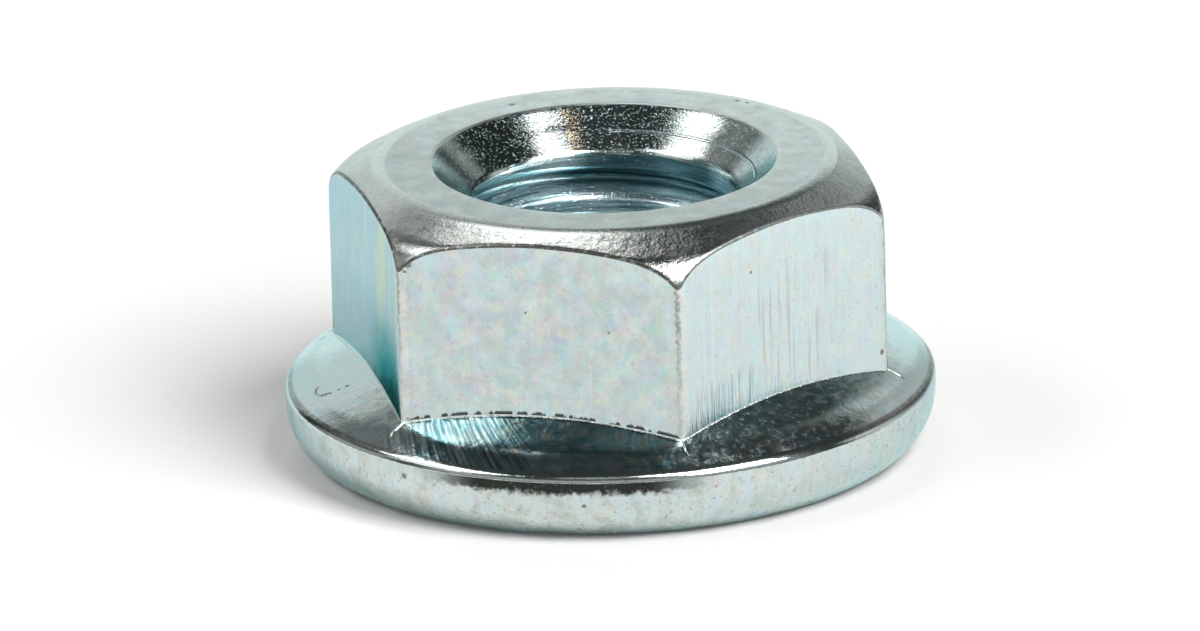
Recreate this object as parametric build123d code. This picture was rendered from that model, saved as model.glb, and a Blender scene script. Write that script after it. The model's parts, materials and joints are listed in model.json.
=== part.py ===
from build123d import *
import os
from math import cos, radians, sin, tan

# Serrated hexagon flange nut, M8 size. Millimetres and degrees.
# Origin: centre of the bearing plane. +Z: thread axis, towards the hexagon.
# Two flats of the hexagon face +Y and -Y.

# Driving dimensions: overall
height = 7.7
across_flats = 13.0
flange_diameter = 16.9

# Driving dimensions: hexagon
hex_sides = 6
hex_edge_radius = 0.3
top_face_inset = 0.6
top_chamfer_angle = 25.0
corner_round_radius = 1.2

# Driving dimensions: flange, from the bearing plane upwards
under_rim_width = 0.88
under_rim_bulge = 0.22
rim_widest_height = 1.3
rim_wall_height = 0.3
rim_corner_radius = 0.4
shoulder_slope = 35.0
shoulder_width = 0.35
shoulder_blend_radius = 2.0
flange_cone_angle = 22.0

# Driving dimensions: bore at tapping size, with a countersink at each end
bore_diameter = 6.8
top_countersink_diameter = 9.0
top_countersink_angle = 94.0
under_countersink_diameter = 8.7
under_countersink_angle = 90.0

# Driving dimensions: locking serrations and the recess that they run out into
recess_diameter = 10.2
recess_depth = 0.35
tooth_count = 24
tooth_depth = 0.2
tooth_land_angle = 2.1
tooth_flank_angle = 70.0

# Cutting tools reach this far past the faces that they cut
overlap = 0.5

bore_radius = bore_diameter / 2
inscribed_radius = across_flats / 2
corner_radius = inscribed_radius / cos(radians(180 / hex_sides))
top_face_radius = inscribed_radius - top_face_inset
rim_radius = flange_diameter / 2
bearing_radius = rim_radius - under_rim_width
recess_radius = recess_diameter / 2


def turned(*outline):
    """Full turn of a half section, drawn with X as the radius and Y as the height."""
    return revolve(Plane.XZ * make_face(outline), Axis.Z)


def flange():
    """Flange: bulged rim, rounded corner, sloping shoulder, then a flatter cone up to the hexagon."""
    under = SagittaArc((bearing_radius, 0), (rim_radius, rim_widest_height), -under_rim_bulge)
    wall = Line(under @ 1, under @ 1 + Vector(0, rim_wall_height))
    corner = JernArc(wall @ 1, wall % 1, rim_corner_radius, 90 - shoulder_slope)
    shoulder_rise = shoulder_width * tan(radians(shoulder_slope))
    shoulder = Line(corner @ 1, corner @ 1 + Vector(-shoulder_width, shoulder_rise))
    blend = JernArc(shoulder @ 1, shoulder % 1, shoulder_blend_radius, shoulder_slope - flange_cone_angle)
    cone_width = (blend @ 1).X - inscribed_radius + overlap
    cone_rise = cone_width * tan(radians(flange_cone_angle))
    cone = Line(blend @ 1, blend @ 1 + Vector(-cone_width, cone_rise))
    inside = Polyline(cone @ 1, (0, (cone @ 1).Y), (0, 0), (bearing_radius, 0))
    return turned(under, wall, corner, shoulder, blend, cone, inside)


def hexagon():
    """Hexagon with softened edges. Its chamfer is a cone that rolls over the six corners."""
    prism = Pos(0, 0, rim_widest_height) * extrude(
        RegularPolygon(inscribed_radius, hex_sides, major_radius=False),
        height - rim_widest_height,
    )
    prism = fillet(prism.edges().filter_by(Axis.Z), hex_edge_radius)
    roll_start_radius = corner_radius - corner_round_radius * (1 - sin(radians(top_chamfer_angle)))
    cone_drop = (roll_start_radius - top_face_radius) * tan(radians(top_chamfer_angle))
    cone = Line((top_face_radius, height), (roll_start_radius, height - cone_drop))
    roll = JernArc(cone @ 1, cone % 1, corner_round_radius, top_chamfer_angle - 90)
    inside = Polyline(roll @ 1, (corner_radius, 0), (0, 0), (0, height), (top_face_radius, height))
    return prism & turned(cone, roll, inside)


def hole():
    """Bore with its two countersinks, and the round recess in the underside."""
    top_radius = top_countersink_diameter / 2
    top_spread = tan(radians(top_countersink_angle / 2))
    top_start = height - (top_radius - bore_radius) / top_spread
    under_radius = under_countersink_diameter / 2
    under_spread = tan(radians(under_countersink_angle / 2))
    under_end = recess_depth + (under_radius - bore_radius) / under_spread
    return turned(
        Polyline(
            (0, -overlap),
            (recess_radius, -overlap),
            (recess_radius, recess_depth),
            (under_radius, recess_depth),
            (bore_radius, under_end),
            (bore_radius, top_start),
            (top_radius + overlap * top_spread, height + overlap),
            (0, height + overlap),
            close=True,
        )
    )


def tooth_gap_section(radius):
    """Gap between two teeth where it crosses a given radius: steep flank, root, long ramp."""
    depth = tooth_depth * radius / bearing_radius
    root = Vector(depth / tan(radians(tooth_flank_angle)), depth)
    tip = Vector(0, 0)
    ramp_foot = Vector(radius * tan(radians(360 / tooth_count - tooth_land_angle)), 0)
    below = 1 + overlap
    section = Polyline(root, root + (tip - root) * below, root + (ramp_foot - root) * below, close=True)
    across = Plane(origin=(radius, 0, 0), x_dir=(0, 1, 0), z_dir=(1, 0, 0))
    return across * make_face(section)


def tooth_gaps():
    """All the gaps between the teeth. Each one widens and deepens away from the axis."""
    inner = tooth_gap_section(recess_radius - overlap)
    outer = tooth_gap_section(rim_radius + overlap)
    gap = loft([inner, outer], ruled=True)
    return [place * gap for place in PolarLocations(0, tooth_count)]


def flange_nut():
    """The whole nut, one forging."""
    blank = flange() + hexagon() - hole()
    return blank - tooth_gaps()


os.makedirs("parts", exist_ok=True)
export_step(flange_nut(), "parts/flange_nut.step")
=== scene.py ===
import json
from math import asin, atan, cos, pi, radians, sin, tan

import bpy
import numpy as np
from mathutils import Matrix, Vector, noise


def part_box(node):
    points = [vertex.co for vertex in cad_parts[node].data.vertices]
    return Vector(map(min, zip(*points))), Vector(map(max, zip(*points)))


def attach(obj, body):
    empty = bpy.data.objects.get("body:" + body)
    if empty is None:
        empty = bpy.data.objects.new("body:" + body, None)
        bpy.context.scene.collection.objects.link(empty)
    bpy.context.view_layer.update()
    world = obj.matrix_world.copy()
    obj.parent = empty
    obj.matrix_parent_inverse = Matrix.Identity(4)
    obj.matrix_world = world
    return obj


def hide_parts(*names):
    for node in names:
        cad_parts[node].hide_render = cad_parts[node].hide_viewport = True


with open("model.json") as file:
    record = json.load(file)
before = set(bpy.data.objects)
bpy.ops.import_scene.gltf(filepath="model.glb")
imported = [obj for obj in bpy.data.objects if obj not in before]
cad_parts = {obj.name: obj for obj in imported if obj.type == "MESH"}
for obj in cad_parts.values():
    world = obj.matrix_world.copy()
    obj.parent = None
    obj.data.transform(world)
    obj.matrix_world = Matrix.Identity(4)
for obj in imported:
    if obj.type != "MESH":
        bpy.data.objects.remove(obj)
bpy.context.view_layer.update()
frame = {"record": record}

# ----------------------------------------
# Sizes. The nut is worked out in millimetres and radians, in the frame of the
# CAD model, and turned into metres where a mesh, lamp or camera is made.
# ----------------------------------------
MM = 0.001
NODE = "flange_nut"

low, high = (np.array(corner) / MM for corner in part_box(NODE))
mounts = {mount["name"]: mount for mount in frame["record"]["mounts"]}

HEIGHT = float(high[2])
RIM_RADIUS = float(high[0] - low[0]) / 2
APOTHEM = abs(mounts["wrench_flat_plus_y"]["pos_m"][1]) / MM
BORE_RADIUS = mounts["thread"]["dims"]["r_mm"]

# Hexagon
HEX_EDGE_RADIUS = 0.3
TOP_FACE_INSET = 0.6
TOP_FACE_RADIUS = APOTHEM - TOP_FACE_INSET
CHAMFER_ANGLE = radians(25)
CORNER_ROUND = 1.2
HEX_CORNER = APOTHEM / cos(radians(30))

# Flange
UNDER_RIM_WIDTH = 0.88
BEARING_RADIUS = RIM_RADIUS - UNDER_RIM_WIDTH
UNDER_RIM_BULGE = 0.22
RIM_WIDEST = 1.3
RIM_CORNER_RADIUS = 0.3
RIM_WALL_HEIGHT = 0.352
RIM_WALL_TOP = RIM_WIDEST + RIM_WALL_HEIGHT
RIM_TOP_SLOPE = radians(35)
SHOULDER_SOFTNESS = 0.23
CONE_FOOT_RADIUS = 7.6
CONE_FOOT_HEIGHT = 2.36
CONE_SLOPE = radians(22)

# Countersinks and recess
TOP_SINK_RADIUS = 4.5
TOP_SINK_ANGLE = radians(94)
TOP_SINK_SPREAD = tan(TOP_SINK_ANGLE / 2)
UNDER_SINK_RADIUS = 4.35
UNDER_SINK_ANGLE = radians(90)
UNDER_SINK_SPREAD = tan(UNDER_SINK_ANGLE / 2)
RECESS_RADIUS = 5.1
RECESS_DEPTH = 0.35

# Teeth
TEETH = 24
TOOTH_PITCH = 2 * pi / TEETH
TOOTH_DEPTH = 0.2
TOOTH_LAND_ANGLE = radians(2.1)
TOOTH_FLANK_ANGLE = radians(70)
TOOTH_EDGE_SOFTNESS = radians(0.3)
TOOTH_END_SOFTNESS = radians(1.6)
TOOTH_END_DEPTH = 0.6

# Thread
PITCH = 1.25
MAJOR_RADIUS = 4.0
ROOT_WIDTH = PITCH / 8
FLANK_RUN = (MAJOR_RADIUS - BORE_RADIUS) * tan(radians(30))
GROOVE_CENTRE = 5.52
THREAD_EDGE_WIDTH = 0.06
THREAD_EDGE_RADIUS = MAJOR_RADIUS + THREAD_EDGE_WIDTH
THREAD_TOP = HEIGHT - (TOP_SINK_RADIUS - THREAD_EDGE_RADIUS) / TOP_SINK_SPREAD
THREAD_BOTTOM = RECESS_DEPTH + (UNDER_SINK_RADIUS - THREAD_EDGE_RADIUS) / UNDER_SINK_SPREAD
SINK_END = HEIGHT - (TOP_SINK_RADIUS - BORE_RADIUS) / TOP_SINK_SPREAD
# The thread grows shallower over this height, before it meets the top countersink
RUN_OUT_START = 6.2
RUN_OUT_LENGTH = 0.55

# Columns of the mesh, in degrees from the steep flank of each tooth
COLUMN_STEPS = (
    0, 0.28, 0.56, 0.84, 1.4, 2.3, 3.3, 4.4, 5.5, 6.6, 7.7, 8.8, 9.9, 11, 12, 12.9, 13.6, 14.2, 14.65,
)
# Rows of the thread in each pitch, in millimetres from the middle of the groove
THREAD_ROWS = (-0.46, -0.39, -0.25, -0.11, -0.05, 0.05, 0.11, 0.25, 0.39, 0.46, 0.56, 0.69)
# Least distance of such a row from either end of the thread, in pitches
THREAD_ROW_MARGIN = 0.02
# Places of the thread's two ends, below and above all its rows
LOWEST_KEY, HIGHEST_KEY = -1000.0, 1000.0
# Points along each arc and along the chamfer, before they are divided into rows
ARC_POINTS, CHAMFER_POINTS = 24, 40
# A rounded corner takes at most this share of the piece on either side of it
LONGEST_CUT = 0.45

# Zones of the rounded corners between two zones
CORNER_ZONES = {("cone", "face"): "foot", ("face", "chamfer"): "lip", ("chamfer", "top"): "brim"}

# ----------------------------------------
# Forms of the nut as functions of the polar angle
# ----------------------------------------


def column_angles():
    """Polar angle of every column: the same steps in the pitch of each tooth."""
    return np.concatenate([tooth * TOOTH_PITCH + np.radians(COLUMN_STEPS) for tooth in range(TEETH)])


def hexagon_radius(angle):
    """Radius of the hexagon, whose rounded corners lie at 0, 60, 120 ... degrees."""
    off = (angle + radians(30)) % radians(60) - radians(30)
    flat = APOTHEM / np.cos(radians(30) - np.abs(off))
    centre = (APOTHEM - HEX_EDGE_RADIUS) / cos(radians(30))
    reach = np.sqrt(np.maximum(HEX_EDGE_RADIUS ** 2 - (centre * np.sin(off)) ** 2, 0))
    rounded = centre * np.cos(off) + reach
    half_turn = atan(HEX_EDGE_RADIUS * sin(radians(30)) / (centre + HEX_EDGE_RADIUS * cos(radians(30))))
    return np.where(np.abs(off) < half_turn, rounded, flat)


def tooth_rise(angle):
    """Height of the teeth above the bearing plane, for each millimetre of radius."""
    off = angle % TOOTH_PITCH
    foot = tan(TOOTH_PITCH - TOOTH_LAND_ANGLE)
    slope = TOOTH_DEPTH / BEARING_RADIUS
    flank = np.sin(off) * tan(TOOTH_FLANK_ANGLE)
    ramp = np.cos(off) * (foot - np.tan(off)) * slope / (foot - slope / tan(TOOTH_FLANK_ANGLE))
    return np.maximum(np.minimum(flank, ramp), 0)


def soft_tooth_rise(angle, softness):
    """The teeth with their edges softened, as forging and plating leave them."""
    return np.mean([tooth_rise(angle + off * softness) for off in np.linspace(-1, 1, 9)], axis=0)


def hole_radius(angle, height):
    """Radius of the hole: the widest of the thread and the two countersinks."""
    lift = height - GROOVE_CENTRE - PITCH * angle / (2 * pi)
    from_groove = (lift + PITCH / 2) % PITCH - PITCH / 2
    flank = np.clip((np.abs(from_groove) - ROOT_WIDTH / 2) / FLANK_RUN, 0, 1)
    run_out = np.clip((height - from_groove - RUN_OUT_START) / RUN_OUT_LENGTH, 0, 1)
    thread = BORE_RADIUS + (MAJOR_RADIUS - BORE_RADIUS) * (1 - flank) * (1 - run_out)
    top_sink = TOP_SINK_RADIUS - (HEIGHT - height) * TOP_SINK_SPREAD
    under_sink = UNDER_SINK_RADIUS - (height - RECESS_DEPTH) * UNDER_SINK_SPREAD
    return np.maximum(np.maximum(thread, top_sink), under_sink)


# ----------------------------------------
# The half section of the nut at each column, from the underside of the hole
# round the flange and over the top into the hole again
# ----------------------------------------


def arc(centre, radius, start, end):
    """Points along an arc in the plane of radius and height, between two directions."""
    start, end = np.broadcast_arrays(start, end)
    turn = start[:, None] + np.linspace(0, 1, ARC_POINTS) * (end - start)[:, None]
    return np.stack([centre[0] + radius * np.cos(turn), centre[1] + radius * np.sin(turn)], axis=2)


def line(columns, *corners):
    """A polyline for each column. Each corner is a (radius, height) pair of numbers or columns."""
    ends = [[np.broadcast_to(value, columns) for value in corner] for corner in corners]
    return np.array(ends).transpose(2, 0, 1)


def resample(piece, cut_start, cut_end, count):
    """The polylines, shortened at their ends and divided evenly into count points."""
    out = np.empty((len(piece), count, 2))
    for column, points in enumerate(piece):
        steps = np.hypot(*np.diff(points, axis=0).T)
        along = np.concatenate([[0], np.cumsum(steps)])
        total = along[-1]
        longest = LONGEST_CUT * total
        wanted = np.linspace(min(cut_start, longest), total - min(cut_end, longest), count)
        out[column] = np.stack([np.interp(wanted, along, points[:, axis]) for axis in (0, 1)], axis=1)
    return out


def chain(pieces):
    """Joins pieces end to end with rounded corners, and returns the rows and the zone of each row.

    A piece is (zone, polylines, rows, softness of the corner at its end, rows in that corner).
    Some corners are a zone of their own.
    """
    rows = []
    zones = []
    cut_start = 0
    for index, (zone, points, count, cut_end, corner_rows) in enumerate(pieces):
        joined = index > 0 and cut_start == 0
        piece = resample(points, cut_start, cut_end, count + joined)[:, joined:]
        rows.append(piece)
        zones += [zone] * count
        if corner_rows:
            follow = pieces[index + 1]
            start = resample(follow[1], cut_end, follow[3], 2)[:, :1]
            share = (np.arange(1, corner_rows + 1) / (corner_rows + 1))[None, :, None]
            last = piece[:, -1:]
            corner = points[:, -1:]
            rows.append(last * (1 - share) ** 2 + 2 * corner * share * (1 - share) + start * share ** 2)
            zones += [CORNER_ZONES.get((zone, follow[0]), zone)] * corner_rows
        cut_start = cut_end
    return np.concatenate(rows, axis=1), zones


def under_rim(rise):
    """Curve from the edge of the teeth to the widest part of the rim."""
    chord = Vector((RIM_RADIUS - BEARING_RADIUS, RIM_WIDEST))
    radius = (chord.length ** 2 / 4 + UNDER_RIM_BULGE ** 2) / (2 * UNDER_RIM_BULGE)
    inwards = Vector((-chord.y, chord.x)).normalized() * (radius - UNDER_RIM_BULGE)
    centre = Vector((BEARING_RADIUS, 0)) + chord / 2 + inwards
    start = np.arctan(rise) + np.arcsin((rise * centre.x - centre.y) / (radius * np.sqrt(1 + rise ** 2)))
    end = asin((RIM_WIDEST - centre.y) / radius)
    return arc(centre, radius, start, end)


def rim_corner():
    """Corner above the wall of the rim, up to the slope of the shoulder."""
    centre = Vector((RIM_RADIUS - RIM_CORNER_RADIUS, RIM_WALL_TOP))
    return arc(centre, RIM_CORNER_RADIUS, np.zeros(1), pi / 2 - RIM_TOP_SLOPE)


def shoulder_top(corner_end):
    """Where the straight shoulder, which starts at the corner's end, meets the cone."""
    cone_height = CONE_FOOT_HEIGHT + (CONE_FOOT_RADIUS - corner_end[0]) * tan(CONE_SLOPE)
    width = (cone_height - corner_end[1]) / (tan(RIM_TOP_SLOPE) - tan(CONE_SLOPE))
    return corner_end[0] - width, corner_end[1] + width * tan(RIM_TOP_SLOPE)


def chamfer(radius):
    """The chamfer from the hexagon's face, at that radius, up and in to the top face."""
    roll_start = HEX_CORNER - CORNER_ROUND * (1 - sin(CHAMFER_ANGLE))
    roll_centre = Vector((
        roll_start - CORNER_ROUND * sin(CHAMFER_ANGLE),
        HEIGHT - (roll_start - TOP_FACE_RADIUS) * tan(CHAMFER_ANGLE) - CORNER_ROUND * cos(CHAMFER_ANGLE),
    ))
    share = np.linspace(0, 1, CHAMFER_POINTS)
    across = radius[:, None] * (1 - share) + TOP_FACE_RADIUS * share
    flat = HEIGHT - (across - TOP_FACE_RADIUS) * tan(CHAMFER_ANGLE)
    rolled = roll_centre.y + np.sqrt(np.maximum(CORNER_ROUND ** 2 - (across - roll_centre.x) ** 2, 0))
    return np.stack([across, np.where(across > roll_start, rolled, flat)], axis=2)


def half_sections(angles):
    """Rows of the nut's outside, as (radius, height) for every column, and the zone of every row."""
    count = len(angles)
    rise = soft_tooth_rise(angles, TOOTH_EDGE_SOFTNESS)
    hexagon = hexagon_radius(angles)
    rim = under_rim(soft_tooth_rise(angles, TOOTH_END_SOFTNESS) * TOOTH_END_DEPTH)
    corner = np.repeat(rim_corner(), count, axis=0)
    shoulder_end = shoulder_top(corner[0, -1])
    cone_end = CONE_FOOT_HEIGHT + (CONE_FOOT_RADIUS - hexagon) * tan(CONE_SLOPE)
    top = chamfer(hexagon)
    thread_start = (THREAD_EDGE_RADIUS, THREAD_BOTTOM)
    under_sink = (UNDER_SINK_RADIUS, RECESS_DEPTH)
    recess = (RECESS_RADIUS, RECESS_DEPTH)
    teeth = (RECESS_RADIUS, RECESS_RADIUS * rise)
    return chain([
        ("underside", line(count, thread_start, under_sink), 4, 0.04, 1),
        ("underside", line(count, under_sink, recess), 3, 0.06, 2),
        ("underside", line(count, recess, teeth), 2, 0.04, 2),
        ("teeth", line(count, teeth, rim[:, 0].T), 8, 0.06, 2),
        ("rim", rim, 12, 0.3, 3),
        ("rim", line(count, rim[:, -1].T, corner[:, 0].T), 2, 0, 0),
        ("rim_edge", corner, 6, 0, 0),
        ("cone", line(count, corner[:, -1].T, shoulder_end), 5, SHOULDER_SOFTNESS, 4),
        ("cone", line(count, shoulder_end, (hexagon, cone_end)), 13, 0.03, 3),
        ("face", line(count, (hexagon, cone_end), top[:, 0].T), 22, 0.08, 5),
        ("chamfer", top, 14, 0.22, 5),
        ("top", line(count, (TOP_FACE_RADIUS, HEIGHT), (TOP_SINK_RADIUS, HEIGHT)), 9, 0.05, 2),
        ("sink", line(count, (TOP_SINK_RADIUS, HEIGHT), (THREAD_EDGE_RADIUS, THREAD_TOP)), 8, 0, 0),
    ])


# ----------------------------------------
# Waves and grain of the forging, as moves of the surface along its normal
# ----------------------------------------

# Zone: (height of the waves, height of the grain), in millimetres
UNEVENNESS = {
    "underside": (0.008, 0.003),
    "teeth": (0.012, 0.003),
    "rim": (0.016, 0.004),
    "rim_edge": (0.014, 0.003),
    "cone": (0.012, 0.003),
    "foot": (0.012, 0.004),
    "face": (0.004, 0.001),
    "lip": (0.012, 0.004),
    "chamfer": (0.008, 0.002),
    "brim": (0.008, 0.002),
    "top": (0.006, 0.001),
    "sink": (0.003, 0.001),
}
# Lengths in millimetres, and seeds of their noise
WAVE_LENGTH, WAVE_SEED = 1.5, 3.7
GRAIN_LENGTH, GRAIN_SEED = 0.35, 9.1
# The heights change from zone to zone over this many rows
HEIGHT_BLEND_ROWS = 5


def grid_normals(points):
    """Outward normals of a grid of points whose first axis runs round the nut."""
    around = np.roll(points, -1, axis=0) - np.roll(points, 1, axis=0)
    along = np.gradient(points, axis=1)
    normal = np.cross(around, along)
    return normal / np.maximum(np.linalg.norm(normal, axis=2, keepdims=True), 1e-9)


def waves(points, length, seed):
    """Smooth noise between -1 and 1 whose waves have about that length in millimetres."""
    shift = Vector((seed, 2 * seed, 3 * seed))
    flat = points.reshape(-1, 3) / length
    return np.array([noise.noise(Vector(p) + shift) for p in flat]).reshape(points.shape[:-1])


def roughen(points, zones):
    """The points moved inwards by the unevenness of their zones, so that they stay in the CAD model's box."""
    normal = grid_normals(points)
    table = np.array([UNEVENNESS[zone] for zone in zones])
    blend = np.ones(HEIGHT_BLEND_ROWS) / HEIGHT_BLEND_ROWS
    padded = [np.pad(column, HEIGHT_BLEND_ROWS // 2, "edge") for column in table.T]
    wave_height, grain_height = (np.convolve(column, blend, "valid") for column in padded)
    wave = wave_height * (waves(points, WAVE_LENGTH, WAVE_SEED) - 1)
    grain = grain_height * (waves(points, GRAIN_LENGTH, GRAIN_SEED) - 1)
    return points + normal * (wave + grain)[:, :, None]


# ----------------------------------------
# The mesh: rows round the outside, and a thread whose rows follow its helix
# ----------------------------------------


def thread_keys(angle):
    """Places of the thread's rows at a column, in pitches along the helix, from below upwards."""
    start = (THREAD_BOTTOM - GROOVE_CENTRE) / PITCH - angle / (2 * pi)
    end = (THREAD_TOP - GROOVE_CENTRE) / PITCH - angle / (2 * pi)
    turns = range(int(start) - 2, int(end) + 3)
    keys = [turn + row / PITCH for turn in turns for row in THREAD_ROWS]
    lowest, highest = start + THREAD_ROW_MARGIN, end - THREAD_ROW_MARGIN
    return sorted(round(key, 6) for key in keys if lowest < key < highest)


def zip_columns(left, right):
    """Faces between two columns of (key, vertex), which share their first and last keys."""
    faces = []
    i = j = 0
    while i < len(left) - 1 or j < len(right) - 1:
        left_key = left[i + 1][0] if i < len(left) - 1 else None
        right_key = right[j + 1][0] if j < len(right) - 1 else None
        if left_key == right_key:
            faces.append((left[i][1], left[i + 1][1], right[j + 1][1], right[j][1]))
            i += 1
            j += 1
        elif right_key is None or (left_key is not None and left_key < right_key):
            faces.append((left[i][1], left[i + 1][1], right[j][1]))
            i += 1
        else:
            faces.append((left[i][1], right[j + 1][1], right[j][1]))
            j += 1
    return faces


def nut_mesh():
    """Vertices in millimetres, faces, and the zone of each face."""
    angles = column_angles()
    columns = len(angles)
    section, zones = half_sections(angles)
    rows = section.shape[1]
    points = np.stack([
        section[..., 0] * np.cos(angles)[:, None],
        section[..., 0] * np.sin(angles)[:, None],
        section[..., 1],
    ], axis=2)
    points = roughen(points, zones)
    vertices = [tuple(p) for p in points.reshape(-1, 3)]
    faces = []
    face_zones = []
    for column in range(columns):
        here = column * rows
        after = (column + 1) % columns * rows
        for row in range(rows - 1):
            faces.append((here + row, after + row, after + row + 1, here + row + 1))
            face_zones.append(zones[row])

    threads = []
    for column, angle in enumerate(angles):
        ladder = [(LOWEST_KEY, column * rows)]
        for key in thread_keys(angle):
            height = GROOVE_CENTRE + PITCH * (key + angle / (2 * pi))
            radius = float(hole_radius(angle, height))
            ladder.append((key, len(vertices)))
            vertices.append((radius * cos(angle), radius * sin(angle), height))
        ladder.append((HIGHEST_KEY, column * rows + rows - 1))
        threads.append(ladder)
    wrapped = [(key if abs(key) == HIGHEST_KEY else round(key - 1, 6), vertex) for key, vertex in threads[0]]
    for left, right in zip(threads, threads[1:] + [wrapped]):
        strip = zip_columns(left, right)
        faces += strip
        middle = [np.mean([vertices[v][2] for v in face]) for face in strip]
        face_zones += ["sink" if height > SINK_END else "thread" for height in middle]
    return vertices, faces, face_zones


def new_object(name, data):
    """An object in the scene."""
    thing = bpy.data.objects.new(name, data)
    bpy.context.scene.collection.objects.link(thing)
    return thing


def build_nut(materials):
    """The nut as one closed mesh, with a material for each zone."""
    vertices, faces, zones = nut_mesh()
    mesh = bpy.data.meshes.new("serrated_flange_nut")
    mesh.from_pydata([Vector(v) * MM for v in vertices], [], faces)
    names = list(materials)
    for material in materials.values():
        mesh.materials.append(material)
    mesh.polygons.foreach_set("material_index", [names.index(zone) for zone in zones])
    mesh.polygons.foreach_set("use_smooth", [True] * len(faces))
    mesh.update()
    nut = new_object("serrated_flange_nut", mesh)
    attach(nut, "root")
    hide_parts(NODE)


# ----------------------------------------
# Materials
# ----------------------------------------


def set_inputs(tree, node, inputs):
    """Links each input of a node to a socket, or sets it to a value. A colour is three numbers."""
    for place, value in inputs.items():
        socket = node.inputs[place]
        if isinstance(value, bpy.types.NodeSocket):
            tree.links.new(value, socket)
        else:
            socket.default_value = (*value, 1) if socket.type == "RGBA" else value


def add(tree, kind, settings=None, **inputs):
    """A new node. An input goes by its name, with _ for each space, or by _ and its place."""
    node = tree.nodes.new(kind)
    for name, value in (settings or {}).items():
        setattr(node, name, value)
    for name, value in inputs.items():
        place = int(name[1:]) if name[1:].isdigit() else name.replace("_", " ")
        set_inputs(tree, node, {place: value})
    return node


def maths(tree, operation, first, second=0.0, third=0.0):
    """Result of an operation on numbers."""
    settings = {"operation": operation}
    return add(tree, "ShaderNodeMath", settings, _0=first, _1=second, _2=third).outputs[0]


def vector_maths(tree, operation, first, second=(0, 0, 0)):
    """Result of an operation on vectors: a number for a length, a distance or a dot product."""
    node = add(tree, "ShaderNodeVectorMath", {"operation": operation}, _0=first, _1=second)
    is_number = operation in ("LENGTH", "DISTANCE", "DOT_PRODUCT")
    return node.outputs["Value" if is_number else "Vector"]


def smooth_step(tree, value, start, end, low=0.0, high=1.0):
    """Smooth step from low to high as value goes from start to end."""
    return add(tree, "ShaderNodeMapRange", {"interpolation_type": "SMOOTHSTEP"}, Value=value,
               From_Min=start, From_Max=end, To_Min=low, To_Max=high).outputs[0]


# Colours of the clean metal and of its patches and marks, and of the painted light, shade and reflections on
# it
ZINC = (0.61, 0.675, 0.66)
ZINC_FLAT = (0.585, 0.69, 0.695)
# Painted shade: a darker copy of the flats' colour, for the front flat
ZINC_FLAT_SHADED = (0.46, 0.54, 0.545)
ZINC_TOP = (0.67, 0.72, 0.70)
# Painted shade: a darker copy of the top face's colour, towards the front
ZINC_TOP_SHADED = (0.49, 0.53, 0.51)
# Painted light and shade: a darker copy of the chamfer's colour away from the front, and a lighter one over
# the front
CHAMFER_SIDES_SHADED = (0.53, 0.565, 0.54)
CHAMFER_FRONT_LIT = (0.60, 0.62, 0.60)
# Painted shade: the brim's colour, a darker copy of the top face's
ZINC_BRIM_SHADED = (0.55, 0.585, 0.56)
ZINC_BURR = (0.84, 0.90, 0.88)
ZINC_BLUE = (0.57, 0.68, 0.73)
ZINC_GREEN = (0.57, 0.69, 0.62)
ZINC_WARM = (0.70, 0.68, 0.60)
ZINC_ROSE = (0.66, 0.64, 0.66)
ZINC_DULL = (0.50, 0.50, 0.46)
# Thread colours lifted near white: partly the thread's bluish tint, partly painted light in its grooves
THREAD_CYAN_LIT = (0.66, 0.88, 0.94)
THREAD_PALE_LIT = (0.88, 0.97, 0.99)
THREAD_LINE = (0.10, 0.24, 0.28)
# Painted shade in the thread's far roots and in its top turn
THREAD_ROOT_SHADE = (0.06, 0.17, 0.19)
THREAD_LEAD_SHADE = (0.05, 0.13, 0.15)
TOOL_MARK_DARK = (0.40, 0.49, 0.54)
TOOL_MARK_PALE = (0.76, 0.80, 0.79)
RAKE_BLUE = (0.20, 0.33, 0.38)
SCORE_GREY = (0.30, 0.34, 0.34)
# Painted reflection of the front flat's tool marks, on the cone
MIRRORED_MARK_DARK = (0.10, 0.22, 0.25)
MIRRORED_MARK_PALE = (0.90, 0.98, 0.97)
SMUDGE_FLAT = (0.46, 0.46, 0.37)
SMUDGE_TOP = (0.44, 0.45, 0.40)
PATCH_RIM = (0.42, 0.44, 0.40)
BLOOM_RIM = (0.50, 0.62, 0.58)
EARTH = (0.54, 0.54, 0.46)
AMBER = (0.90, 0.72, 0.44)
WORN_PALE = (0.78, 0.72, 0.64)
LIP_DARK = (0.20, 0.20, 0.18)
LIP_GREY = (0.48, 0.50, 0.48)
# Painted shade on the left side of the countersink
SHADE_SINK = (0.36, 0.40, 0.38)
# Painted shade at the far right end of the chamfer
SHADE_CHAMFER = (0.33, 0.345, 0.33)
SPECK_PALE = (0.32, 0.34, 0.30)
SPECK_DARK = (0.16, 0.15, 0.13)
STAIN = (0.20, 0.17, 0.14)
BAND_GREY = (0.46, 0.60, 0.60)
BAND_BLUE = (0.44, 0.55, 0.66)
BAND_YELLOW = (0.60, 0.66, 0.47)
# Painted reflection of the dark cone, low on the left flat: the next three colours
FOOT_REFLECTION_BAND = (0.27, 0.40, 0.41)
CONE_REFLECTION_GREEN = (0.03, 0.33, 0.37)
CONE_REFLECTION_DEEP = (0.02, 0.20, 0.15)
# Painted reflection on the front of the cone
REFLECTED_MARBLING = (0.25, 0.60, 0.72)
# Painted shade under the burr at the foot of the front flat
BURR_SHADE = (0.02, 0.03, 0.03)
RIM_BLACK = (0.03, 0.035, 0.03)
WHITE = (1, 1, 1)

# Tints of the metal's reflection at a grazing angle
GRAZING_TINT = (0.72, 0.92, 0.94)
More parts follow.
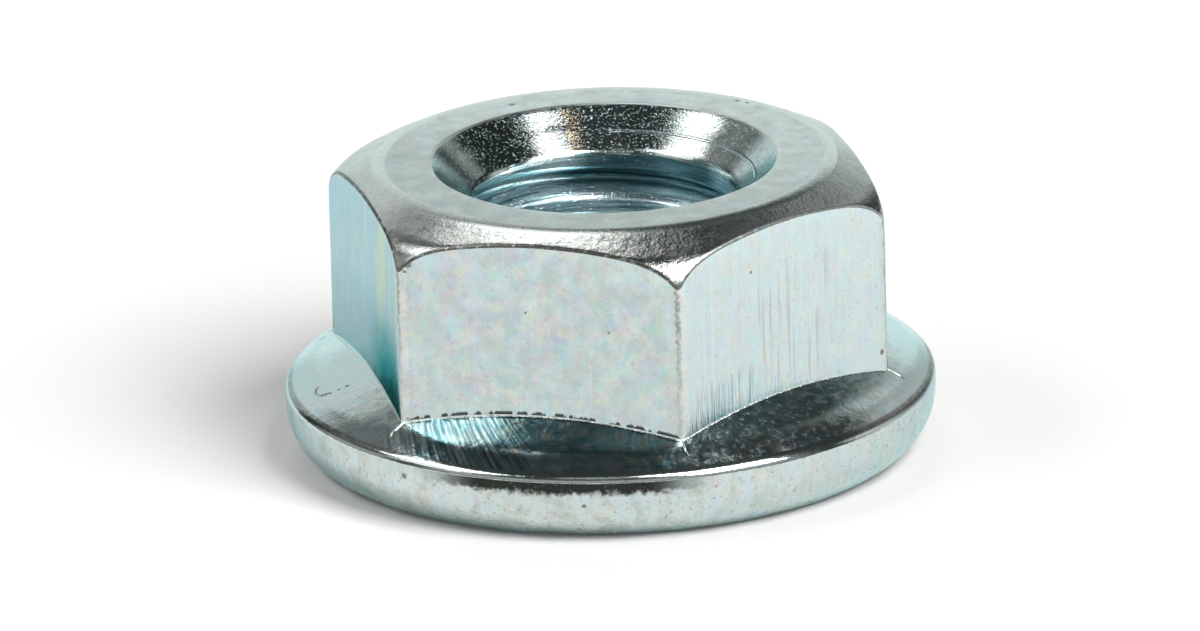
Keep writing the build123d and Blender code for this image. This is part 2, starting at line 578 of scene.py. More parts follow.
# Grazing tint of the painted cone reflection on the left flat
GRAZING_REFLECTION_GREEN = (0.02, 0.55, 0.56)
TOP_TINT = (0.84, 0.93, 0.92)
THREAD_TINT = (0.46, 0.72, 0.78)

# Polar angles of the front flat and of the one on its right, in degrees
FRONT_FLAT, RIGHT_FLAT = -90, -30
# Sector at the far right, where the chamfer has painted shade and the cone is darkest: middle, half and soft
# angle
RIGHT_END = (2, 14, 14)

# Small dark marks: polar angle in degrees, then radius, height and size in millimetres
FACE_MARKS = (
    (-118.2, 7.32, 6.72, 0.13), (-118.8, 7.35, 6.5, 0.08), (-1.7, 7.38, 2.95, 0.08),
    (-178.6, 7.4, 2.72, 0.11), (-74, 6.75, 5.2, 0.04), (-93, 6.5, 5.6, 0.035), (-40, 6.6, 6.3, 0.045),
)
TOP_MARKS = ((133.3, 5.16, 7.7, 0.10), (67.6, 5.63, 7.7, 0.09), (64.3, 5.65, 7.7, 0.07))
CONE_MARKS = (
    (-150.4, 7.80, 2.28, 0.07), (-150.0, 7.87, 2.25, 0.08), (-149.2, 7.91, 2.23, 0.08),
    (-148.2, 7.92, 2.23, 0.08), (-147.2, 7.90, 2.24, 0.08), (-146.3, 7.84, 2.26, 0.08),
    (-145.6, 7.76, 2.29, 0.08), (-145.1, 7.67, 2.33, 0.06), (-144.3, 7.45, 2.42, 0.05),
    (-143.9, 7.24, 2.50, 0.07), (-160.1, 8.04, 2.18, 0.05), (176.2, 7.70, 2.32, 0.16),
)
RIM_PITS = ((-113.4, 8.45, 1.39, 0.09), (-79.1, 8.42, 1.08, 0.07), (-34.4, 7.94, 0.24, 0.06))


class Coat:
    """Node building for one material. Places are in millimetres in the nut's own frame."""

    def __init__(self, name):
        self.material = bpy.data.materials.new(name)
        self.material.use_nodes = True
        self.tree = self.material.node_tree
        self.shader = self.tree.nodes["Principled BSDF"]
        place = add(self.tree, "ShaderNodeTexCoord").outputs["Object"]
        scale = {"operation": "SCALE"}
        self.place = add(self.tree, "ShaderNodeVectorMath", scale, _0=place, Scale=1 / MM).outputs[0]
        parts = add(self.tree, "ShaderNodeSeparateXYZ", Vector=self.place).outputs
        self.height = parts["Z"]
        self.polar = self.math("DEGREES", self.math("ARCTAN2", parts["Y"], parts["X"]))
        self.radius = vector_maths(self.tree, "LENGTH", self.stretch(1, 1, 0))

    def math(self, operation, first, second=0.0, third=0.0):
        return maths(self.tree, operation, first, second, third)

    def both(self, *shares):
        """Product of shares."""
        out = shares[0]
        for share in shares[1:]:
            out = self.math("MULTIPLY", out, share)
        return out

    def stretch(self, x, y, z):
        """The place, scaled along each axis."""
        return vector_maths(self.tree, "MULTIPLY", self.place, (x, y, z))

    def moved(self, x, y, z):
        """The place, moved so that its noise is another one."""
        return vector_maths(self.tree, "ADD", self.place, (x, y, z))

    def around(self, along, across, up=0.0):
        """A place worked out from the polar angle in degrees, the radius and the height."""
        x = self.math("MULTIPLY", self.polar, along)
        y = self.math("MULTIPLY", self.radius, across)
        z = self.math("MULTIPLY", self.height, up)
        return add(self.tree, "ShaderNodeCombineXYZ", X=x, Y=y, Z=z).outputs[0]

    def from_corner(self):
        """Distance round the nut from the nearest upright edge of the hexagon, in millimetres."""
        turned = self.math("FLOORED_MODULO", self.math("ADD", self.polar, 30.0), 60.0)
        off = self.math("SUBTRACT", turned, 30.0)
        return self.math("MULTIPLY", self.radius, self.math("RADIANS", off))

    def above_foot(self):
        """Height above the cone of the flange, in millimetres."""
        apex = CONE_FOOT_HEIGHT + CONE_FOOT_RADIUS * tan(CONE_SLOPE)
        cone = self.math("MULTIPLY_ADD", self.radius, -tan(CONE_SLOPE), apex)
        return self.math("SUBTRACT", self.height, cone)

    def noise(self, size, detail=2.0, rough=0.5, place=None, distortion=0.0, output="Fac"):
        """Noise from 0 to 1, or of colours, whose grains have about that size."""
        return add(self.tree, "ShaderNodeTexNoise", Vector=place or self.place, Scale=1 / size, Detail=detail,
                   Roughness=rough, Distortion=distortion).outputs[output]

    def step(self, value, start, end, low=0.0, high=1.0):
        return smooth_step(self.tree, value, start, end, low, high)

    def band(self, value, middle, half, soft):
        """1 within half of the middle value, falling to 0 over the soft distance."""
        gap = self.math("ABSOLUTE", self.math("SUBTRACT", value, middle))
        return self.step(gap, half, half + soft, 1.0, 0.0)

    def sector(self, middle, half, soft):
        """1 within half of the middle polar angle, falling to 0 over the soft angle, in degrees."""
        return self.band(self.polar, middle, half, soft)

    def mix(self, share, first, second, blend="MIX"):
        """The first colour with a share of the second in it."""
        settings = {"data_type": "RGBA", "blend_type": blend}
        return add(self.tree, "ShaderNodeMix", settings, _0=share, _6=first, _7=second).outputs[2]

    def near(self, polar, radius, height, reach):
        """1 at a point of the nut, falling to 0 at that distance from it."""
        point = (radius * cos(radians(polar)), radius * sin(radians(polar)), height)
        gap = vector_maths(self.tree, "DISTANCE", self.place, point)
        return self.step(gap, 0, reach, 1.0, 0.0)

    def bump(self, height, distance, normal=None):
        """Relief whose full height is distance millimetres."""
        node = add(self.tree, "ShaderNodeBump", Height=height, Distance=distance * MM, Strength=1.0)
        if normal:
            self.tree.links.new(normal, node.inputs["Normal"])
        return node.outputs["Normal"]

    def finish(self, colour, roughness, normal, tint=GRAZING_TINT):
        """Joins the colour, roughness and relief to a metal shader, and returns the material."""
        inputs = {"Base Color": colour, "Roughness": roughness, "Normal": normal, "Specular Tint": tint}
        set_inputs(self.tree, self.shader, inputs | {"Metallic": 1.0})
        return self.material


def zinc_tint(coat, strength=1.0, size=1.0, colour=ZINC):
    """The faint blue, green, warm and rose patches of clear-passivated zinc."""
    # Tint, size in millimetres, start of its step, greatest share, and shift of its noise
    patches = (
        (ZINC_BLUE, 1.3, 0.42, 0.7, (0, 0, 0)),
        (ZINC_WARM, 0.9, 0.5, 0.6, (31, 17, 5)),
        (ZINC_GREEN, 1.1, 0.5, 0.5, (7, 43, 11)),
        (ZINC_ROSE, 0.7, 0.52, 0.5, (3, 9, 61)),
    )
    for tint, grain, start, share, shift in patches:
        spread = coat.noise(grain * size, 3, place=coat.moved(*shift))
        colour = coat.mix(coat.step(spread, start, start + 0.2, 0, share * strength), colour, tint)
    return colour


def specks(coat, colour, size, amount, strength, dark=STAIN):
    """Small dark specks, as pores and dust leave."""
    grains = coat.step(coat.noise(size, 2, 0.6), 1 - amount, 1 - amount + 0.06, 0, strength)
    return coat.mix(grains, colour, dark)


def marked(coat, colour, marks):
    """Dark marks with ragged edges at given places."""
    ragged = coat.noise(0.1, 3, 0.7)
    for polar, radius, height, size in marks:
        spot = coat.math("ADD", coat.near(polar, radius, height, size * 1.5), ragged)
        colour = coat.mix(coat.step(spot, 0.75, 0.95, 0, 0.9), colour, STAIN)
    return colour


def mottle(coat, colour, size, strength):
    """Small blots of slightly different hue and lightness."""
    return coat.mix(strength, colour, coat.noise(size, 2, 0.6, output="Color"), "OVERLAY")


def flat_faces():
    """Punched flats: upright tool marks, faint tints, sparse specks, worn edges, painted shade over the front
    flat and in dark dashes along its ragged foot, and a painted reflection of the cone low on the left flat.
    """
    coat = Coat("zinc_flats")
    marks = coat.noise(1, 3, 0.6, coat.stretch(16, 16, 0.3))
    broad = coat.noise(1, 2, 0.5, coat.stretch(2.2, 2.2, 0.25))
    # Painted shade over the front flat, a little more towards its top
    front = coat.sector(FRONT_FLAT, 29.5, 0.5)
    dullness_and_shade = coat.both(front, coat.step(coat.height, 2.0, 6.5, 0.8, 1))
    colour = coat.mix(dullness_and_shade, ZINC_FLAT, ZINC_FLAT_SHADED)
    colour = zinc_tint(coat, 0.7, 0.5, colour)
    colour = mottle(coat, colour, 0.14, 0.16)
    colour = mottle(coat, colour, 0.4, 0.22)
    smudges = coat.step(coat.noise(0.4, 4, 0.75), 0.47, 0.68)
    smudges = coat.both(smudges, coat.step(coat.noise(1.3, 2), 0.42, 0.6))
    left = coat.step(coat.polar, -62, -58, 1, 0.45)
    colour = coat.mix(coat.both(smudges, left, 0.5), colour, SMUDGE_FLAT)
    colour = specks(coat, colour, 0.14, 0.38, 0.28, SPECK_PALE)
    colour = specks(coat, colour, 0.06, 0.31, 0.55)
    strong = coat.step(broad, 0.45, 0.65, 0.25, 1.0)
    strong = coat.both(strong, coat.step(coat.polar, -75, -58, 0.55, 1))
    dark = coat.both(coat.step(marks, 0.55, 0.72, 0, 0.55), strong)
    colour = coat.mix(dark, colour, TOOL_MARK_DARK)
    pale = coat.both(coat.step(marks, 0.45, 0.3, 0, 0.5), strong)
    colour = coat.mix(pale, colour, TOOL_MARK_PALE)
    colour = rake_marks(coat, colour)
    colour = shade_under_foot_burr(coat, colour)
    colour = worn_edges(coat, colour)
    colour, teal, veil = left_iridescence_and_reflection(coat, colour)
    colour = marked(coat, colour, FACE_MARKS)
    tint = coat.mix(1.0, coat.mix(teal, GRAZING_TINT, GRAZING_REFLECTION_GREEN), veil, "MULTIPLY")
    normal = coat.bump(coat.noise(0.12, 3, 0.6), 0.003)
    normal = coat.bump(marks, 0.014, normal)
    return coat.finish(colour, coat.step(coat.noise(0.5), 0.3, 0.7, 0.07, 0.13), normal, tint)


def rake_marks(coat, colour):
    """Bluish scratches low on the right flat, and faint upright scores higher up."""
    low = coat.band(coat.above_foot(), 0.45, 0.3, 0.5)
    reach = coat.both(low, coat.sector(-49, 7, 6))
    marks = coat.step(coat.noise(1, 1, 0.5, coat.stretch(18, 18, 0.7)), 0.5, 0.6)
    colour = coat.mix(coat.both(reach, marks, 0.6), colour, RAKE_BLUE)
    field = coat.both(coat.sector(-27, 9, 6), coat.band(coat.height, 4.6, 1.2, 1.0))
    scores = coat.step(coat.noise(1, 2, 0.6, coat.stretch(9, 9, 0.35)), 0.56, 0.64)
    return coat.mix(coat.both(field, scores, 0.38), colour, SCORE_GREY)


def shade_under_foot_burr(coat, colour):
    """Painted shade: small dark dashes along the foot of the front flat, where the burr that the die leaves
    would shade it.
    """
    dashes = coat.noise(1, 2, 0.5, coat.around(0.75, 0, 0.5))
    front = coat.sector(FRONT_FLAT, 29, 1)
    reach = coat.math("MULTIPLY", coat.step(dashes, 0.4, 0.56, 0.0, 0.1), front)
    gap = coat.math("SUBTRACT", coat.above_foot(), coat.math("ADD", reach, 0.02))
    return coat.mix(coat.step(gap, -0.025, 0.025, 0.92, 0), colour, BURR_SHADE)


def worn_edges(coat, colour):
    """Ragged brown line down each upright edge, darkest where it meets the chamfer."""
    off = coat.from_corner()
    wobble = coat.noise(1, 3, 0.7, coat.stretch(2, 2, 4))
    line = coat.math("ADD", off, coat.step(wobble, 0.3, 0.7, -0.01, 0.07))
    grain = coat.step(coat.noise(0.1, 3, 0.7), 0.35, 0.6, 0.4, 1)
    top = coat.step(coat.height, 3.0, 6.2, 0.35, 1.0)
    beside = coat.band(line, 0.12, 0.08, 0.08)
    pale = coat.both(beside, coat.step(coat.noise(0.3, 3, 0.7), 0.4, 0.6), 0.5)
    colour = coat.mix(pale, colour, WORN_PALE)
    wide = coat.band(line, -0.02, 0.08, 0.14)
    halo = coat.both(wide, coat.step(coat.noise(0.15, 3, 0.7), 0.42, 0.62), 0.4)
    colour = coat.mix(halo, colour, ZINC_DULL)
    return coat.mix(coat.both(coat.band(line, 0, 0.02, 0.07), grain, top, 0.8), colour, STAIN)


def left_iridescence_and_reflection(coat, colour):
    """Bands of grey-green, blue and yellow-green on the left flat, and low on it a painted reflection of the
    dark cone in teal and deep teal.

    Returns the colour, the share of the painted teal reflection and what the bands leave of the reflection at
    a grazing angle.
    """
    side = coat.step(coat.polar, -124, -119.6, 1, 0)
    side = coat.both(side, coat.step(coat.polar, -180, -179, 0, 1))
    across = coat.noise(1, 2, 0.5, coat.stretch(1.1, 1.1, 0.12))
    bands = coat.mix(coat.step(across, 0.4, 0.5), BAND_GREY, BAND_BLUE)
    bands = coat.mix(coat.step(across, 0.52, 0.6), bands, BAND_YELLOW)
    colour = coat.mix(coat.both(side, 0.75), colour, bands)
    # Painted reflection of the dark cone, deepening towards the foot of the left flat
    low = coat.both(side, coat.band(coat.above_foot(), 0.8, 0.5, 1.4), 0.4)
    colour = coat.mix(low, colour, FOOT_REFLECTION_BAND)
    veins = coat.noise(0.5, 3, 0.6, coat.stretch(1, 1, 0.5), 0.6)
    foot = coat.step(coat.above_foot(), 2.7, 0.2)
    foot = coat.both(side, foot, coat.step(coat.polar, -149, -130))
    teal = coat.both(foot, coat.step(veins, 0.3, 0.6, 0.5, 0.85))
    colour = coat.mix(teal, colour, CONE_REFLECTION_GREEN)
    deep = coat.step(coat.above_foot(), 1.6, 0.2)
    deep = coat.both(side, deep, coat.step(coat.polar, -134, -125))
    deep = coat.both(deep, coat.step(veins, 0.65, 0.35, 0.5, 1))
    colour = coat.mix(deep, colour, CONE_REFLECTION_DEEP)
    veil = coat.mix(coat.both(side, 0.75), WHITE, coat.mix(0.35, WHITE, bands))
    return colour, teal, veil


def top_face():
    """Top face, with painted shade that darkens it towards the front, smudges, specks and a few dark marks.
    """
    coat = Coat("zinc_top")
    # Painted shade, growing towards the front
    shaded_side = (cos(radians(-99)), sin(radians(-99)), 0)
    nearer = vector_maths(coat.tree, "DOT_PRODUCT", coat.place, shaded_side)
    colour = coat.mix(coat.step(nearer, -4.5, 4.5), ZINC_TOP, ZINC_TOP_SHADED)
    colour = mottle(coat, zinc_tint(coat, 0.4, 1, colour), 0.1, 0.3)
    smudges = coat.both(coat.step(coat.noise(0.3, 4, 0.7), 0.5, 0.7), 0.35)
    colour = coat.mix(smudges, colour, SMUDGE_TOP)
    colour = specks(coat, colour, 0.08, 0.3, 0.35)
    colour = marked(coat, colour, TOP_MARKS)
    normal = coat.bump(coat.noise(0.1, 3), 0.003)
    return coat.finish(colour, coat.step(coat.noise(0.6), 0.3, 0.7, 0.26, 0.36), normal, TOP_TINT)


def chamfer_band():
    """Turned chamfer with a coarse pitted grain, painted lighter over the front and darker elsewhere, with
    painted shade at its far right end.
    """
    coat = Coat("zinc_chamfer")
    # Painted light over the front of the chamfer, painted shade elsewhere
    front = coat.sector(-85, 62, 16)
    colour = coat.mix(front, CHAMFER_SIDES_SHADED, CHAMFER_FRONT_LIT)
    right = coat.sector(-28, 34, 8)
    right = coat.both(right, coat.step(coat.noise(0.16, 3, 0.6), 0.4, 0.62), 0.5)
    colour = coat.mix(right, colour, EARTH)
    # Painted shade at the far right end of the chamfer
    colour = coat.mix(coat.both(coat.sector(*RIGHT_END), 0.8), colour, SHADE_CHAMFER)
    colour = mottle(coat, colour, 0.1, 0.3)
    colour = specks(coat, colour, 0.07, 0.38, 0.5, SPECK_DARK)
    swells = coat.both(coat.noise(0.22, 2, 0.6), coat.step(coat.polar, -110, -92, 0.45, 1))
    normal = coat.bump(swells, 0.011)
    grain = coat.both(coat.noise(0.08, 3, 0.7), coat.step(coat.polar, -75, -55, 0.5, 1))
    normal = coat.bump(grain, 0.01, normal)
    return coat.finish(colour, coat.step(coat.noise(0.3), 0.3, 0.7, 0.15, 0.24), normal, TOP_TINT)


def lip():
    """Ragged dark edge between the chamfer and the flats, greyer along the right flat."""
    coat = Coat("zinc_lip")
    # Darker along the front and left flats, greyer along the right flat
    side = coat.step(coat.polar, -62, -54)
    colour = mottle(coat, coat.mix(side, LIP_DARK, LIP_GREY), 0.08, 0.6)
    sparks = coat.step(coat.noise(0.22, 3, 0.7), 0.54, 0.64)
    colour = coat.mix(sparks, colour, ZINC)
    normal = coat.bump(coat.noise(0.16, 3, 0.7), 0.02)
    return coat.finish(colour, 0.28, normal)


def brim():
    """Soft turn from the chamfer to the top face, painted a shade darker than the top face."""
    coat = Coat("zinc_brim")
    colour = mottle(coat, zinc_tint(coat, 0.3, 1, ZINC_BRIM_SHADED), 0.1, 0.3)
    colour = specks(coat, colour, 0.07, 0.36, 0.5)
    normal = coat.bump(coat.noise(0.12, 3, 0.7), 0.006)
    return coat.finish(colour, 0.2, normal, TOP_TINT)


def foot():
    """Sparkling burr in the corner between the cone and the flats."""
    coat = Coat("zinc_foot")
    colour = specks(coat, ZINC_BURR, 0.09, 0.35, 0.6)
    normal = coat.bump(coat.noise(0.12, 3, 0.7), 0.03)
    return coat.finish(colour, 0.12, normal)


def countersink():
    """Glossy countersink with fine grain, a turning line and an amber tint on its far side."""
    coat = Coat("zinc_sink")
    colour = mottle(coat, zinc_tint(coat, 0.4), 0.08, 0.3)
    amber = coat.sector(117.5, 1.0, 4.0)
    amber = coat.both(amber, coat.step(coat.noise(0.3, 2), 0.3, 0.55), 0.6)
    colour = coat.mix(amber, colour, AMBER)
    # Painted shade on the left side of the countersink
    left = coat.step(coat.math("ABSOLUTE", coat.polar), 132, 150)
    colour = coat.mix(coat.both(left, 0.75), colour, SHADE_SINK)
    colour = specks(coat, colour, 0.05, 0.36, 0.5)
    normal = coat.bump(coat.noise(1, 2, 0.6, coat.around(0.25, 9, 9)), 0.002)
    normal = coat.bump(coat.noise(0.06, 3, 0.7), 0.004, normal)
    grains = coat.step(coat.noise(0.065, 1, 0.5), 0.62, 0.72)
    normal = coat.bump(grains, 0.014, normal)
    line = coat.both(coat.band(coat.height, 7.13, 0.01, 0.025), coat.sector(58, 38, 12))
    normal = coat.bump(line, -0.03, normal)
    return coat.finish(colour, 0.09, normal)


def thread():
    """Bluish thread with fine turning lines, its colour lifted near white as painted light, and painted shade
    on its far side in the roots and in the top turn.
    """
    coat = Coat("zinc_thread")
    # Painted light: pale, near-white colours
    colour = coat.mix(coat.step(coat.noise(0.8), 0.35, 0.65), THREAD_CYAN_LIT, THREAD_PALE_LIT)
    lines = coat.noise(1, 3, 0.7, coat.around(0.02, 6, 14))
    colour = coat.mix(coat.step(lines, 0.5, 0.35, 0, 0.75), colour, THREAD_LINE)
    # Painted shade in the far roots and in the top turn
    root = coat.both(coat.step(coat.radius, 3.75, 3.95), coat.sector(82, 34, 20), 0.85)
    colour = coat.mix(root, colour, THREAD_ROOT_SHADE)
    lead = coat.both(coat.step(coat.height, 5.95, 6.2), coat.sector(84, 27, 14), 0.88)
    colour = coat.mix(lead, colour, THREAD_LEAD_SHADE)
    normal = coat.bump(lines, 0.012)
    normal = coat.bump(coat.step(coat.noise(0.07, 1, 0.5), 0.6, 0.72), 0.012, normal)
    return coat.finish(colour, 0.26, normal, THREAD_TINT)


def cone():
    """Glossy cone of the flange, marbled, with a crease under each corner of the hexagon.

    Below the left half of the front flat, pale and dark slanted streaks are a painted reflection of the
    flat's tool marks; pale teal blots on its front are a painted reflection too, and its right end is the
    dullest.
    """
    coat = Coat("zinc_cone")
    colour = mottle(coat, zinc_tint(coat, 0.8, 0.7), 0.12, 0.35)
    colour = specks(coat, colour, 0.1, 0.33, 0.3)
    colour = marked(coat, colour, CONE_MARKS)
    marble = coat.noise(0.4, 4, 0.65, distortion=0.8)
    front = coat.sector(-88, 24, 10)
    # Painted reflection: pale teal blots on the front of the cone
    reflected_blots = coat.step(coat.noise(0.3, 2, 0.5, coat.moved(3, 1, 8)), 0.45, 0.6)
    colour = coat.mix(coat.both(front, reflected_blots, 0.6), colour, REFLECTED_MARBLING)
    # Painted reflection of the front flat's tool marks: slanted streaks below its left half
    slant = coat.math("MULTIPLY_ADD", coat.radius, -8.5, coat.math("MULTIPLY", coat.polar, 1.1))
    outwards = coat.math("MULTIPLY", coat.radius, 0.7)
    along = add(coat.tree, "ShaderNodeCombineXYZ", X=slant, Y=outwards).outputs[0]
    streaks = coat.noise(1, 2, 0.6, along)
    mirrored = coat.sector(-105, 9, 10)
    colour = coat.mix(coat.both(coat.step(streaks, 0.5, 0.4), mirrored, 0.7), colour, MIRRORED_MARK_DARK)
    colour = coat.mix(coat.both(coat.step(streaks, 0.52, 0.62), mirrored, 0.8), colour, MIRRORED_MARK_PALE)
    normal = coat.bump(marble, 0.007)
    normal = coat.bump(coat.noise(0.1, 2, 0.6), 0.003, normal)
    crease = coat.band(coat.from_corner(), 0.03, 0.0, 0.06)
    crease = coat.both(crease, coat.step(coat.radius, 8.0, 7.6))
    normal = coat.bump(crease, 0.05, normal)
    right = coat.sector(RIGHT_FLAT, 32, 6)
    dullness_and_shade = coat.both(right, coat.step(coat.noise(0.22, 4, 0.7), 0.42, 0.68), 0.14)
    roughness = coat.math("ADD", coat.step(marble, 0.3, 0.7, 0.1, 0.18), dullness_and_shade)
    roughness = coat.math("ADD", roughness, coat.both(coat.sector(0, 10, 16), 0.1))
    outer = coat.both(coat.sector(*RIGHT_END), coat.step(coat.radius, 7.85, 8.15), 0.25)
    roughness = coat.math("ADD", roughness, outer)
    return coat.finish(colour, roughness, normal)


def rim():
    """Forged rim: mottled, faintly streaked from top to bottom, with small pits and a dark ragged band high
    on its front.
    """
    coat = Coat("zinc_rim")
    colour = mottle(coat, zinc_tint(coat, 0.9, 0.5), 0.14, 0.2)
    streaks = coat.noise(1, 3, 0.6, coat.around(0.7, 0.4, 0.5))
    colour = coat.mix(coat.step(streaks, 0.5, 0.68, 0, 0.35), colour, ZINC_DULL)
    patches = coat.step(coat.noise(0.6, 4, 0.65, distortion=0.5), 0.47, 0.66)
    patches = coat.both(patches, coat.step(coat.polar, -70, -45, 0.6, 0.18))
    colour = coat.mix(patches, colour, PATCH_RIM)
    blooms = coat.step(coat.noise(0.35, 3, 0.6, coat.moved(5, 9, 2)), 0.52, 0.68, 0, 0.5)
    colour = coat.mix(blooms, colour, BLOOM_RIM)
    ragged = coat.math("ADD", coat.height, coat.step(coat.noise(0.18, 4, 0.7), 0.3, 0.7, -0.08, 0.08))
    # Dark ragged band just under the top of the rim's wall, on its front
    dark_band = coat.both(coat.band(ragged, 1.66, 0.15, 0.2), coat.sector(-83, 15, 14))
    colour = coat.mix(dark_band, colour, RIM_BLACK)
    colour = specks(coat, colour, 0.1, 0.38, 0.5)
    colour = marked(coat, colour, RIM_PITS)
    normal = coat.bump(coat.noise(0.3, 3, 0.6), 0.012)
    normal = coat.bump(streaks, 0.005, normal)
    return coat.finish(colour, coat.step(coat.noise(0.4), 0.3, 0.7, 0.18, 0.3), normal)


def rim_edge():
    """Rounded corner between the rim and the shoulder, burnished bright but for its right end."""
    coat = Coat("zinc_rim_edge")
    colour = specks(coat, zinc_tint(coat, 0.5), 0.1, 0.35, 0.4)
    side = coat.math("ABSOLUTE", coat.math("ADD", coat.polar, 74.0))
    brown = coat.both(coat.band(coat.height, 1.87, 0.03, 0.05), coat.step(side, 38, 56), 0.7)
    brown = coat.both(brown, coat.step(coat.noise(0.15, 3), 0.3, 0.55, 0.5, 1))
    colour = coat.mix(brown, colour, STAIN)
    normal = coat.bump(coat.noise(0.2, 3, 0.6), 0.007)
    roughness = coat.step(coat.math("ABSOLUTE", coat.polar), 34, 14, 0.13, 0.36)
    return coat.finish(colour, roughness, normal)


def underside(name="zinc_underside", roughness=0.35):
    """Plain plating for the underside, and for the teeth under a name and a roughness of their own."""
    coat = Coat(name)
    colour = specks(coat, zinc_tint(coat), 0.1, 0.3, 0.4)
    normal = coat.bump(coat.noise(0.2, 3), 0.008)
    return coat.finish(colour, roughness, normal)


materials = {
    "foot": foot(),
    "face": flat_faces(),
    "lip": lip(),
    "chamfer": chamfer_band(),
    "brim": brim(),
    "top": top_face(),
    "sink": countersink(),
    "thread": thread(),
    "cone": cone(),
    "rim": rim(),
    "rim_edge": rim_edge(),
    "teeth": underside("zinc_teeth", 0.25),
    "underside": underside(),
}
build_nut(materials)

# ----------------------------------------
# Floor, light and camera
# ----------------------------------------

# Camera. Its elevation is in degrees, as those of the lamps and the walls are
CAMERA_POLAR = radians(-73.871)
CAMERA_ELEVATION = 18.7347
CAMERA_ROLL = radians(1.5993)
CAMERA_DISTANCE = 600
CAMERA_TARGET = Vector((0, 0, 3.1))
CAMERA_SHIFT_RIGHT = -0.2316
CAMERA_SHIFT_UP = 0.2676
CAMERA_CLIP = 10, 20000
LENS = 695
SENSOR = 36

# Lamps: azimuth, elevation, and the angles that they span, in degrees, then radiance
SOFTBOXES = {
    "left_softbox": (-82, 50, 40, 17, 3.4),
    "right_softbox": (49, 49, 32, 34, 9.3),
    "back_softbox": (-163, 60, 19, 24, 2.2),
}
LAMP_DISTANCE = 500
LAMP_AIM_HEIGHT = 4
# Walls: azimuth, elevation, half the angles that they span, soft edge, in degrees, then radiance
WALLS = {
    "back_wall": (180, 7, 16, 19, 6, 1.12),
    "back_left_wall": (-160, 12, 18, 26, 6, 0.82),
    "back_left_ceiling": (-140, 46, 14, 6, 10, 0.18),
    "back_right_wall": (167, 10, 11, 15, 7, 1.05),
    "back_right_ceiling": (152, 46, 12, 6, 10, 0.14),
    "back_right_corner": (145, 31, 7, 9, 5, 0.9),
    "right_wall": (106, 17, 10, 10, 6, 1.0),
    "back_left_corner": (-125, 34, 10, 10, 5, 0.22),
    "left_wall": (-104, 12, 16, 14, 10, 0.4),
    "left_low_wall": (-74, 33, 18, 4, 3, 2.0),
    "front_wall": (0, 18, 70, 12, 14, 0.5),
    "front_ceiling": (-10, 58, 14, 9, 8, 0.42),
}
ROOM = (0.031, 0.039, 0.039)
WALL_COLOUR = (0.97, 1.0, 0.99)
FLOOR_COLOUR = (0.89, 0.88, 0.87)
FLOOR_ROUGHNESS = 0.9
FLOOR_HALF_SIZE = 1500
# The floor glows a little in the picture and in reflections, more as it leaves the nut
FLOOR_GLOW_START, FLOOR_GLOW_END = 11, 34
FLOOR_GLOW_NEAR, FLOOR_GLOW_FAR = 0.02, 0.14


def towards(azimuth, elevation):
    """Direction from the nut, as turned right from the camera's direction and raised from the floor."""
    polar = CAMERA_POLAR + radians(azimuth)
    rise = radians(elevation)
    return Vector((cos(rise) * cos(polar), cos(rise) * sin(polar), sin(rise)))


def make_floor():
    """White floor, big enough to fill the picture."""
    mesh = bpy.data.meshes.new("floor")
    half = FLOOR_HALF_SIZE * MM
    corners = [(-half, -half, 0), (half, -half, 0), (half, half, 0), (-half, half, 0)]
    mesh.from_pydata(corners, [], [(0, 1, 2, 3)])
    material = bpy.data.materials.new("white_floor")
    material.use_nodes = True
    tree = material.node_tree
    rays = add(tree, "ShaderNodeLightPath").outputs
    seen = maths(tree, "MAXIMUM", rays["Is Camera Ray"], rays["Is Glossy Ray"])
    seen = maths(tree, "MAXIMUM", seen, rays["Is Transmission Ray"])
    away = vector_maths(tree, "LENGTH", add(tree, "ShaderNodeTexCoord").outputs["Object"])
    reach = FLOOR_GLOW_START * MM, FLOOR_GLOW_END * MM
    glow = maths(tree, "MULTIPLY", seen, smooth_step(tree, away, *reach, FLOOR_GLOW_NEAR, FLOOR_GLOW_FAR))
    inputs = {"Base Color": FLOOR_COLOUR, "Roughness": FLOOR_ROUGHNESS, "Specular IOR Level": 0,
              "Emission Color": WHITE, "Emission Strength": glow}
    set_inputs(tree, tree.nodes["Principled BSDF"], inputs)
    mesh.materials.append(material)
    new_object("floor", mesh)


def softbox(name, azimuth, elevation, width, height, radiance):
    """A rectangular lamp that faces the nut."""
    distance = LAMP_DISTANCE * MM
    lamp = bpy.data.lights.new(name, "AREA")
    lamp.shape = "RECTANGLE"
    lamp.size = 2 * distance * tan(radians(width / 2))
    lamp.size_y = 2 * distance * tan(radians(height / 2))
    lamp.energy = radiance * pi * lamp.size * lamp.size_y
    box = new_object(name, lamp)
    direction = towards(azimuth, elevation)
    box.location = direction * distance + Vector((0, 0, LAMP_AIM_HEIGHT * MM))
    box.rotation_euler = direction.to_track_quat("Z", "Y").to_euler()
    box.visible_camera = False


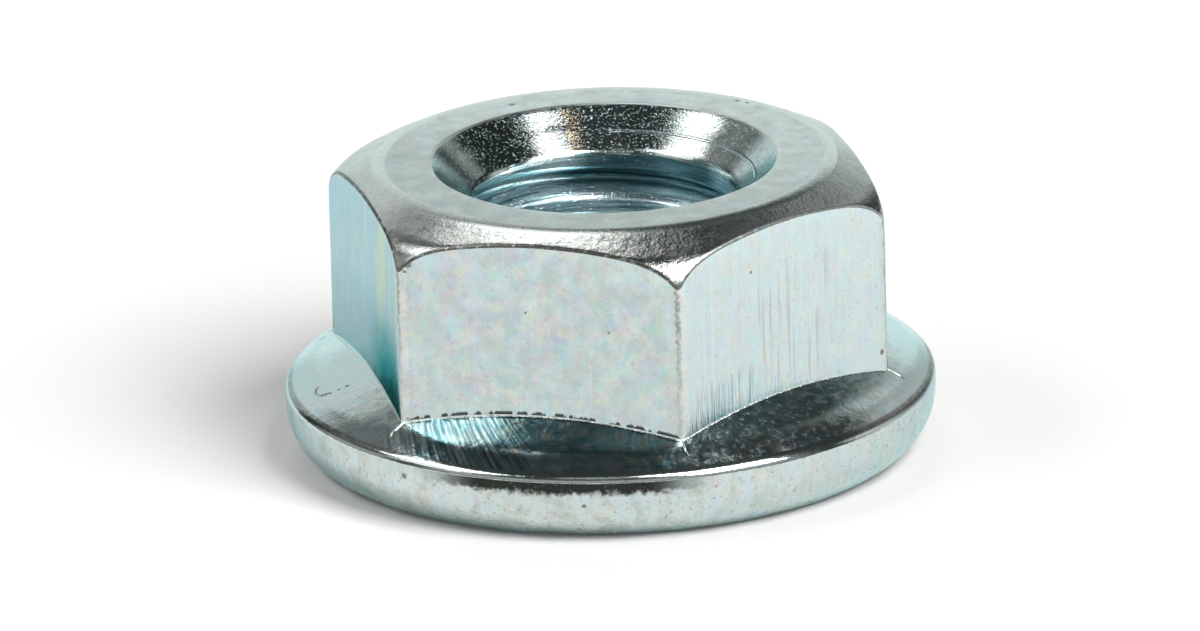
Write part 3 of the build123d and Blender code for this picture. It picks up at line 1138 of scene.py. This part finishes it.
def make_camera():
    """The camera of the photograph, rolled and shifted off the nut as it was."""
    back = towards(0, CAMERA_ELEVATION)
    right = Vector((0, 0, 1)).cross(back).normalized()
    up = back.cross(right)
    across = right * cos(CAMERA_ROLL) - up * sin(CAMERA_ROLL)
    upwards = right * sin(CAMERA_ROLL) + up * cos(CAMERA_ROLL)
    place = CAMERA_TARGET + back * CAMERA_DISTANCE + across * CAMERA_SHIFT_RIGHT + upwards * CAMERA_SHIFT_UP
    data = bpy.data.cameras.new("camera")
    data.lens = LENS
    data.sensor_width = SENSOR
    data.sensor_fit = "HORIZONTAL"
    data.clip_start, data.clip_end = (distance * MM for distance in CAMERA_CLIP)
    camera = new_object("camera", data)
    turn = Matrix((across, upwards, back)).transposed().to_4x4()
    camera.matrix_world = Matrix.Translation(place * MM) @ turn
    bpy.context.scene.camera = camera


def make_world():
    """A dark room with pale, soft-edged walls round the nut."""
    world = bpy.data.worlds.new("studio")
    bpy.context.scene.world = world
    world.use_nodes = True
    tree = world.node_tree
    direction = add(tree, "ShaderNodeTexCoord").outputs["Generated"]
    height = add(tree, "ShaderNodeSeparateXYZ", Vector=direction).outputs["Z"]
    level = vector_maths(tree, "NORMALIZE", vector_maths(tree, "MULTIPLY", direction, (1, 1, 0)))
    light = 0.0
    for azimuth, elevation, half_width, half_height, soft, radiance in WALLS.values():
        side = vector_maths(tree, "DOT_PRODUCT", level, towards(azimuth, 0))
        inner = max(half_width - soft, 0)
        width = smooth_step(tree, side, cos(radians(half_width + soft)), cos(radians(inner)))
        bottom = elevation - half_height
        top = elevation + half_height
        below = smooth_step(tree, height, sin(radians(top + soft)), sin(radians(top - soft)))
        above = smooth_step(tree, height, sin(radians(bottom - soft)), sin(radians(bottom + soft)))
        share = maths(tree, "MULTIPLY", width, maths(tree, "MULTIPLY", below, above))
        light = maths(tree, "MAXIMUM", light, maths(tree, "MULTIPLY", share, radiance))
    settings = {"data_type": "RGBA", "clamp_factor": False}
    walls = add(tree, "ShaderNodeMix", settings, _0=light, _6=ROOM, _7=WALL_COLOUR).outputs[2]
    tree.links.new(walls, tree.nodes["Background"].inputs["Color"])


make_floor()
make_world()
for name, box in SOFTBOXES.items():
    softbox(name, *box)
make_camera()

bpy.context.scene.view_settings.view_transform = "Standard"
